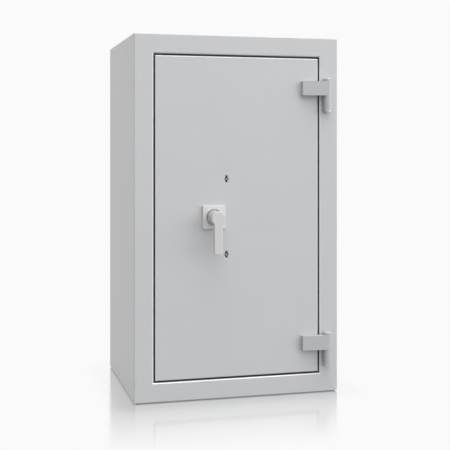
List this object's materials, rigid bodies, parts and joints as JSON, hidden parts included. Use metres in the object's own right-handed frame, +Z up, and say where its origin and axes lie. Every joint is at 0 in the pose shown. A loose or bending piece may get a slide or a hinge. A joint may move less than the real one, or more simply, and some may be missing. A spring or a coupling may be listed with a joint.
{
  "type": "fire resistant safe",
  "caption": "Upright fire resistant safe with one flush door on outside hinges, a lever handle, key locks, bolts on three sides and shelves inside.",
  "frame": {"origin": "on the floor, under the middle of the cabinet's width and depth", "axes": "+Z up, -Y out of the front, +X to the right as seen from the front"},
  "size_m": [0.7, 0.62, 1.2],
  "materials": {
    "cabinet_paint": "satin",
    "door_paint": "satin",
    "inner_paint": "satin",
    "base_paint": "matte",
    "hinge_paint": "satin",
    "handle_metal": "satin",
    "rosette_metal": "satin",
    "cast_insulation": "matte",
    "seal_strip": "matte",
    "zinc_steel": "satin",
    "bright_steel": "satin",
    "screw_steel": "satin",
    "brass": "satin"
  },
  "bodies": {
    "cabinet": {"outer_casing": "cabinet_paint", "base_plate": "base_paint", "back_panel": "cabinet_paint", "inner_liner": "inner_paint", "insulation_back": "cast_insulation", "insulation_bottom": "cast_insulation", "insulation_left": "cast_insulation", "insulation_right": "cast_insulation", "insulation_top": "cast_insulation", "anchor_sleeves": "zinc_steel", "door_jamb": "inner_paint", "fire_seals": "seal_strip", "shelf_rails": "zinc_steel", "shelf_clips": "zinc_steel", "shelf_1": "inner_paint", "shelf_2": "inner_paint", "shelf_3": "inner_paint", "hinge_knuckle_lower": "hinge_paint", "hinge_knuckle_upper": "hinge_paint", "hinge_pins": "bright_steel", "hinge_washers": "brass"},
    "door": {"door_front": "door_paint", "door_pan": "inner_paint", "door_filling": "cast_insulation", "boltwork_plate": "zinc_steel", "cover_posts": "zinc_steel", "door_cover": "inner_paint", "cover_screws": "screw_steel", "hinge_leaf_lower": "hinge_paint", "hinge_leaf_upper": "hinge_paint", "hinge_caps": "hinge_paint", "hinge_dogs": "bright_steel", "handle_rosette": "rosette_metal", "spindle_bush": "brass", "bolt_guides": "zinc_steel", "key_guides": "bright_steel", "lock_case_lower": "zinc_steel", "lock_case_upper": "zinc_steel", "lock_covers": "zinc_steel", "lock_screws": "screw_steel", "key_pins": "bright_steel", "tumblers": "brass"},
    "handle": {"lever": "handle_metal", "set_screw": "screw_steel", "spindle": "bright_steel", "scroll_cam": "zinc_steel", "retaining_ring": "screw_steel"},
    "side_boltwork": {"side_bolts": "bright_steel", "bolt_bar": "zinc_steel", "bar_screws": "screw_steel"},
    "top_boltwork": {"top_bolt": "bright_steel", "top_arm": "zinc_steel", "top_arm_screws": "screw_steel"},
    "bottom_boltwork": {"bottom_bolt": "bright_steel", "bottom_arm": "zinc_steel", "bottom_arm_screws": "screw_steel"},
    "upper_key_barrel": {"key_barrel_upper": "brass"},
    "lower_key_barrel": {"key_barrel_lower": "brass"},
    "upper_lock_bolt": {"lock_bolt_upper": "brass"},
    "lower_lock_bolt": {"lock_bolt_lower": "brass"}
  },
  "joints": [
    {"name": "door_swing", "type": "hinge", "parent": "cabinet", "child": "door", "pos_m": [0.31, -0.2895, 0.6], "axis": [0, 0, 1], "range_deg": [0, 180]},
    {"name": "handle_turn", "type": "hinge", "parent": "door", "child": "handle", "pos_m": [-0.085, -0.275, 0.6], "axis": [0, -1, 0], "range_deg": [0, 90]},
    {"name": "side_bolts_throw", "type": "slide", "parent": "door", "child": "side_boltwork", "axis": [-1, 0, 0], "range_m": [0, 0.028]},
    {"name": "top_bolt_throw", "type": "slide", "parent": "door", "child": "top_boltwork", "axis": [0, 0, 1], "range_m": [0, 0.028]},
    {"name": "bottom_bolt_throw", "type": "slide", "parent": "door", "child": "bottom_boltwork", "axis": [0, 0, -1], "range_m": [0, 0.028]},
    {"name": "upper_key_turn", "type": "hinge", "parent": "door", "child": "upper_key_barrel", "pos_m": [-0.041, -0.275, 0.725], "axis": [0, -1, 0], "range_deg": [0, 90]},
    {"name": "lower_key_turn", "type": "hinge", "parent": "door", "child": "lower_key_barrel", "pos_m": [-0.041, -0.275, 0.475], "axis": [0, -1, 0], "range_deg": [0, 90]},
    {"name": "upper_lock_throw", "type": "slide", "parent": "door", "child": "upper_lock_bolt", "axis": [-1, 0, 0], "range_m": [0, 0.014]},
    {"name": "lower_lock_throw", "type": "slide", "parent": "door", "child": "lower_lock_bolt", "axis": [-1, 0, 0], "range_m": [0, 0.014]}
  ],
  "couplings": [
    {"joint": "side_bolts_throw", "follows": "handle_turn", "m_per_rad": 0.017825},
    {"joint": "top_bolt_throw", "follows": "handle_turn", "m_per_rad": 0.017825},
    {"joint": "bottom_bolt_throw", "follows": "handle_turn", "m_per_rad": 0.017825},
    {"joint": "upper_lock_throw", "follows": "upper_key_turn", "m_per_rad": 0.008912},
    {"joint": "lower_lock_throw", "follows": "lower_key_turn", "m_per_rad": 0.008912}
  ]
}
